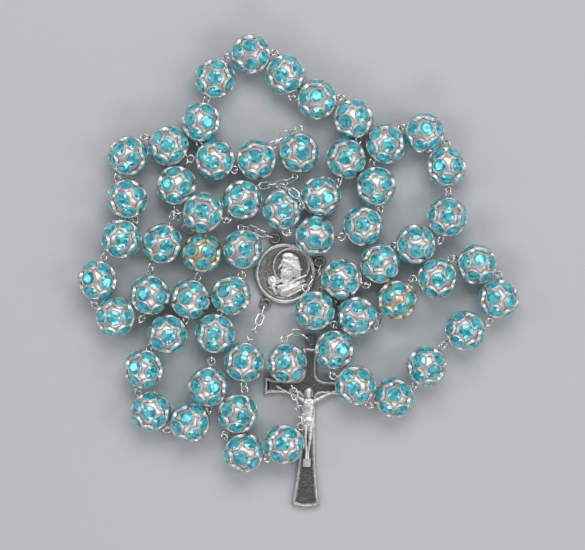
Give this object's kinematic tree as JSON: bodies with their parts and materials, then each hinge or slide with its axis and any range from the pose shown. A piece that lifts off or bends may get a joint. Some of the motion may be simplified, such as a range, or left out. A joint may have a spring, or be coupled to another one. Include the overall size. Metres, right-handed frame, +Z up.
{
  "type": "rosary",
  "caption": "Rosary laid flat: stone-set ball beads strung on eye pins, with oval chain links, a round centre medal and a crucifix on a jump ring.",
  "frame": {"origin": "middle of the rosary's outline as it lies, on the surface it lies on", "axes": "+Z up from the surface; +Y from the crucifix's foot towards the far loop of beads"},
  "size_m": [0.1114, 0.1197, 0.0126],
  "materials": {
    "silver_plate": "bright silver plate, polished",
    "antique_silver": "antiqued silver, polished high spots over darkened recesses",
    "crystal": "aqua crystal with mirror foil behind, cut in flat facets"
  },
  "bodies": {
    "wirework": {"centre_medal": "antique_silver", "chain_links": "silver_plate", "eye_pins": "silver_plate", "our_father_beads": "silver_plate", "crucifix_ring": "silver_plate"},
    "cross": {"crucifix": "antique_silver", "corpus": "antique_silver"},
    "bead_01": {"hail_mary_bead_01": "silver_plate"},
    "bead_02": {"hail_mary_bead_02": "silver_plate"},
    "bead_03": {"hail_mary_bead_03": "silver_plate"},
    "bead_04": {"hail_mary_bead_04": "silver_plate"},
    "bead_05": {"hail_mary_bead_05": "silver_plate"},
    "bead_06": {"hail_mary_bead_06": "silver_plate"},
    "bead_07": {"hail_mary_bead_07": "silver_plate"},
    "bead_08": {"hail_mary_bead_08": "silver_plate"},
    "bead_09": {"hail_mary_bead_09": "silver_plate"},
    "bead_10": {"hail_mary_bead_10": "silver_plate"},
    "bead_11": {"hail_mary_bead_11": "silver_plate"},
    "bead_12": {"hail_mary_bead_12": "silver_plate"},
    "bead_13": {"hail_mary_bead_13": "silver_plate"},
    "bead_14": {"hail_mary_bead_14": "silver_plate"},
    "bead_15": {"hail_mary_bead_15": "silver_plate"},
    "bead_16": {"hail_mary_bead_16": "silver_plate"},
    "bead_17": {"hail_mary_bead_17": "silver_plate"},
    "bead_18": {"hail_mary_bead_18": "silver_plate"},
    "bead_19": {"hail_mary_bead_19": "silver_plate"},
    "bead_20": {"hail_mary_bead_20": "silver_plate"},
    "bead_21": {"hail_mary_bead_21": "silver_plate"},
    "bead_22": {"hail_mary_bead_22": "silver_plate"},
    "bead_23": {"hail_mary_bead_23": "silver_plate"},
    "bead_24": {"hail_mary_bead_24": "silver_plate"},
    "bead_25": {"hail_mary_bead_25": "silver_plate"},
    "bead_26": {"hail_mary_bead_26": "silver_plate"},
    "bead_27": {"hail_mary_bead_27": "silver_plate"},
    "bead_28": {"hail_mary_bead_28": "silver_plate"},
    "bead_29": {"hail_mary_bead_29": "silver_plate"},
    "bead_30": {"hail_mary_bead_30": "silver_plate"},
    "bead_31": {"hail_mary_bead_31": "silver_plate"},
    "bead_32": {"hail_mary_bead_32": "silver_plate"},
    "bead_33": {"hail_mary_bead_33": "silver_plate"},
    "bead_34": {"hail_mary_bead_34": "silver_plate"},
    "bead_35": {"hail_mary_bead_35": "silver_plate"},
    "bead_36": {"hail_mary_bead_36": "silver_plate"},
    "bead_37": {"hail_mary_bead_37": "silver_plate"},
    "bead_38": {"hail_mary_bead_38": "silver_plate"},
    "bead_39": {"hail_mary_bead_39": "silver_plate"},
    "bead_40": {"hail_mary_bead_40": "silver_plate"},
    "bead_41": {"hail_mary_bead_41": "silver_plate"},
    "bead_42": {"hail_mary_bead_42": "silver_plate"},
    "bead_43": {"hail_mary_bead_43": "silver_plate"},
    "bead_44": {"hail_mary_bead_44": "silver_plate"},
    "bead_45": {"hail_mary_bead_45": "silver_plate"},
    "bead_46": {"hail_mary_bead_46": "silver_plate"},
    "bead_47": {"hail_mary_bead_47": "silver_plate"},
    "bead_48": {"hail_mary_bead_48": "silver_plate"},
    "bead_49": {"hail_mary_bead_49": "silver_plate"},
    "bead_50": {"hail_mary_bead_50": "silver_plate"},
    "bead_51": {"hail_mary_bead_51": "silver_plate"},
    "bead_52": {"hail_mary_bead_52": "silver_plate"},
    "bead_53": {"hail_mary_bead_53": "silver_plate"}
  },
  "joints": [
    {"name": "crucifix_swing", "type": "hinge", "parent": "wirework", "child": "cross", "pos_m": [0.00323, -0.01741, 0.0009], "axis": [0, 0, 1], "range_deg": [-0.5, 1]},
    {"name": "bead_01_spin", "type": "hinge", "parent": "wirework", "child": "bead_01", "pos_m": [-0.014, 0.0055, 0.00495], "axis": [0.0405, -0.9992, -0.0044], "continuous": true},
    {"name": "bead_02_spin", "type": "hinge", "parent": "wirework", "child": "bead_02", "pos_m": [-0.017, -0.006, 0.00495], "axis": [-0.5115, -0.8593, 0], "continuous": true},
    {"name": "bead_03_spin", "type": "hinge", "parent": "wirework", "child": "bead_03", "pos_m": [-0.021, -0.01575, 0.00495], "axis": [-0.16, -0.9871, 0], "continuous": true},
    {"name": "bead_04_spin", "type": "hinge", "parent": "wirework", "child": "bead_04", "pos_m": [-0.02275, -0.02925, 0.00495], "axis": [-0.0475, -0.9989, 0], "continuous": true},
    {"name": "bead_05_spin", "type": "hinge", "parent": "wirework", "child": "bead_05", "pos_m": [-0.0275, -0.03825, 0.00495], "axis": [-0.9053, -0.4247, 0], "continuous": true},
    {"name": "bead_06_spin", "type": "hinge", "parent": "wirework", "child": "bead_06", "pos_m": [-0.03725, -0.0355, 0.00495], "axis": [-0.599, 0.8008, 0], "continuous": true},
    {"name": "bead_07_spin", "type": "hinge", "parent": "wirework", "child": "bead_07", "pos_m": [-0.039, -0.02475, 0.00495], "axis": [0.2524, 0.9676, 0], "continuous": true},
    {"name": "bead_08_spin", "type": "hinge", "parent": "wirework", "child": "bead_08", "pos_m": [-0.033, -0.016, 0.00495], "axis": [0.81, 0.5864, 0], "continuous": true},
    {"name": "bead_09_spin", "type": "hinge", "parent": "wirework", "child": "bead_09", "pos_m": [-0.02725, -0.007, 0.00495], "axis": [0.2727, 0.9621, 0], "continuous": true},
    {"name": "bead_10_spin", "type": "hinge", "parent": "wirework", "child": "bead_10", "pos_m": [-0.02425, 0.0045, 0.00495], "axis": [0.1075, 0.9856, -0.1301], "continuous": true},
    {"name": "bead_11_spin", "type": "hinge", "parent": "wirework", "child": "bead_11", "pos_m": [-0.03275, 0.03175, 0.00495], "axis": [-0.8968, 0.4423, -0.004], "continuous": true},
    {"name": "bead_12_spin", "type": "hinge", "parent": "wirework", "child": "bead_12", "pos_m": [-0.043, 0.02925, 0.00495], "axis": [-0.5671, -0.8236, 0], "continuous": true},
    {"name": "bead_13_spin", "type": "hinge", "parent": "wirework", "child": "bead_13", "pos_m": [-0.04325, 0.01825, 0.00495], "axis": [0.4026, -0.9154, 0], "continuous": true},
    {"name": "bead_14_spin", "type": "hinge", "parent": "wirework", "child": "bead_14", "pos_m": [-0.04475, 0.00825, 0.00495], "axis": [-0.6628, -0.7488, 0], "continuous": true},
    {"name": "bead_15_spin", "type": "hinge", "parent": "wirework", "child": "bead_15", "pos_m": [-0.05075, -0.00225, 0.00495], "axis": [-0.2089, -0.9779, 0], "continuous": true},
    {"name": "bead_16_spin", "type": "hinge", "parent": "wirework", "child": "bead_16", "pos_m": [-0.04625, -0.0115, 0.00495], "axis": [0.9505, -0.3108, 0], "continuous": true},
    {"name": "bead_17_spin", "type": "hinge", "parent": "wirework", "child": "bead_17", "pos_m": [-0.0375, -0.006, 0.00495], "axis": [0.1702, 0.9854, 0], "continuous": true},
    {"name": "bead_18_spin", "type": "hinge", "parent": "wirework", "child": "bead_18", "pos_m": [-0.03425, 0.007, 0.00495], "axis": [0.378, 0.9208, 0.0957], "continuous": true},
    {"name": "bead_19_spin", "type": "hinge", "parent": "wirework", "child": "bead_19", "pos_m": [-0.024, 0.01475, 0.00775], "axis": [0.993, -0.1184, 0.0011], "continuous": true},
    {"name": "bead_20_spin", "type": "hinge", "parent": "wirework", "child": "bead_20", "pos_m": [-0.01425, 0.018, 0.00495], "axis": [0.6662, 0.7341, -0.1314], "continuous": true},
    {"name": "bead_21_spin", "type": "hinge", "parent": "wirework", "child": "bead_21", "pos_m": [-0.0105, 0.02825, 0.00495], "axis": [-0.8228, -0.5681, 0.018], "continuous": true},
    {"name": "bead_22_spin", "type": "hinge", "parent": "wirework", "child": "bead_22", "pos_m": [-0.021, 0.02825, 0.00495], "axis": [-0.8155, 0.5787, 0], "continuous": true},
    {"name": "bead_23_spin", "type": "hinge", "parent": "wirework", "child": "bead_23", "pos_m": [-0.0245, 0.03775, 0.00495], "axis": [0.1637, 0.9865, 0], "continuous": true},
    {"name": "bead_24_spin", "type": "hinge", "parent": "wirework", "child": "bead_24", "pos_m": [-0.021, 0.04875, 0.00495], "axis": [0.4169, 0.909, 0], "continuous": true},
    {"name": "bead_25_spin", "type": "hinge", "parent": "wirework", "child": "bead_25", "pos_m": [-0.012, 0.055, 0.00495], "axis": [0.9965, 0.0834, 0], "continuous": true},
    {"name": "bead_26_spin", "type": "hinge", "parent": "wirework", "child": "bead_26", "pos_m": [-0.00325, 0.04975, 0.00495], "axis": [0.3585, -0.9335, 0], "continuous": true},
    {"name": "bead_27_spin", "type": "hinge", "parent": "wirework", "child": "bead_27", "pos_m": [0.00475, 0.0435, 0.00495], "axis": [0.9999, 0.0171, 0], "continuous": true},
    {"name": "bead_28_spin", "type": "hinge", "parent": "wirework", "child": "bead_28", "pos_m": [0.014, 0.0385, 0.00495], "axis": [0.3657, -0.9307, 0], "continuous": true},
    {"name": "bead_29_spin", "type": "hinge", "parent": "wirework", "child": "bead_29", "pos_m": [0.01225, 0.0285, 0.00495], "axis": [-0.4273, -0.9041, 0], "continuous": true},
    {"name": "bead_30_spin", "type": "hinge", "parent": "wirework", "child": "bead_30", "pos_m": [0.00575, 0.019, 0.00495], "axis": [-0.8045, -0.5296, 0.2687], "continuous": true},
    {"name": "bead_31_spin", "type": "hinge", "parent": "wirework", "child": "bead_31", "pos_m": [0.00425, 0.009, 0.00495], "axis": [0.997, -0.0757, 0.0162], "continuous": true},
    {"name": "bead_32_spin", "type": "hinge", "parent": "wirework", "child": "bead_32", "pos_m": [0.0165, 0.0115, 0.00495], "axis": [0.8247, 0.5656, 0], "continuous": true},
    {"name": "bead_33_spin", "type": "hinge", "parent": "wirework", "child": "bead_33", "pos_m": [0.01975, 0.0215, 0.00495], "axis": [-0.1992, 0.98, 0], "continuous": true},
    {"name": "bead_34_spin", "type": "hinge", "parent": "wirework", "child": "bead_34", "pos_m": [0.02225, 0.03225, 0.00495], "axis": [0.6493, 0.7605, 0], "continuous": true},
    {"name": "bead_35_spin", "type": "hinge", "parent": "wirework", "child": "bead_35", "pos_m": [0.032, 0.035, 0.00495], "axis": [0.9469, -0.3214, 0], "continuous": true},
    {"name": "bead_36_spin", "type": "hinge", "parent": "wirework", "child": "bead_36", "pos_m": [0.0375, 0.0265, 0.00495], "axis": [0.0349, -0.9994, 0], "continuous": true},
    {"name": "bead_37_spin", "type": "hinge", "parent": "wirework", "child": "bead_37", "pos_m": [0.03775, 0.01375, 0.00495], "axis": [-0.1631, -0.9866, 0], "continuous": true},
    {"name": "bead_38_spin", "type": "hinge", "parent": "wirework", "child": "bead_38", "pos_m": [0.02975, 0.00675, 0.00495], "axis": [-0.9963, -0.0859, 0], "continuous": true},
    {"name": "bead_39_spin", "type": "hinge", "parent": "wirework", "child": "bead_39", "pos_m": [0.02075, 0.002, 0.00495], "axis": [-0.545, -0.8385, 0], "continuous": true},
    {"name": "bead_40_spin", "type": "hinge", "parent": "wirework", "child": "bead_40", "pos_m": [0.011, -0.002, 0.00495], "axis": [-0.9593, -0.1027, -0.2631], "continuous": true},
    {"name": "bead_41_spin", "type": "hinge", "parent": "wirework", "child": "bead_41", "pos_m": [0.025, -0.00725, 0.00495], "axis": [0.6629, 0.71, 0.2376], "continuous": true},
    {"name": "bead_42_spin", "type": "hinge", "parent": "wirework", "child": "bead_42", "pos_m": [0.03525, -0.00175, 0.00495], "axis": [0.886, 0.4638, 0], "continuous": true},
    {"name": "bead_43_spin", "type": "hinge", "parent": "wirework", "child": "bead_43", "pos_m": [0.04525, 0.00175, 0.00495], "axis": [0.9409, -0.3386, 0], "continuous": true},
    {"name": "bead_44_spin", "type": "hinge", "parent": "wirework", "child": "bead_44", "pos_m": [0.05075, -0.007, 0.00495], "axis": [-0.2063, -0.9785, 0], "continuous": true},
    {"name": "bead_45_spin", "type": "hinge", "parent": "wirework", "child": "bead_45", "pos_m": [0.04225, -0.015, 0.00495], "axis": [-0.8968, -0.4424, 0], "continuous": true},
    {"name": "bead_46_spin", "type": "hinge", "parent": "wirework", "child": "bead_46", "pos_m": [0.0325, -0.024, 0.00495], "axis": [-0.5768, -0.8169, 0], "continuous": true},
    {"name": "bead_47_spin", "type": "hinge", "parent": "wirework", "child": "bead_47", "pos_m": [0.02425, -0.032, 0.00495], "axis": [-0.9107, -0.405, 0.0809], "continuous": true},
    {"name": "bead_48_spin", "type": "hinge", "parent": "wirework", "child": "bead_48", "pos_m": [0.0145, -0.02875, 0.00695], "axis": [-0.7806, 0.625, 0], "continuous": true},
    {"name": "bead_49_spin", "type": "hinge", "parent": "wirework", "child": "bead_49", "pos_m": [0.00925, -0.02, 0.00495], "axis": [0.0722, 0.9943, -0.0781], "continuous": true},
    {"name": "bead_50_spin", "type": "hinge", "parent": "wirework", "child": "bead_50", "pos_m": [0.00425, -0.01, 0.00495], "axis": [-0.609, 0.7865, -0.1028], "continuous": true},
    {"name": "bead_51_spin", "type": "hinge", "parent": "wirework", "child": "bead_51", "pos_m": [-0.01525, -0.036, 0.00495], "axis": [-0.4045, -0.9145, -0.004], "continuous": true},
    {"name": "bead_52_spin", "type": "hinge", "parent": "wirework", "child": "bead_52", "pos_m": [-0.01375, -0.046, 0.00495], "axis": [0.8736, -0.4867, 0], "continuous": true},
    {"name": "bead_53_spin", "type": "hinge", "parent": "wirework", "child": "bead_53", "pos_m": [-0.0035, -0.04375, 0.00495], "axis": [0.7248, 0.6885, 0.0256], "continuous": true}
  ]
}
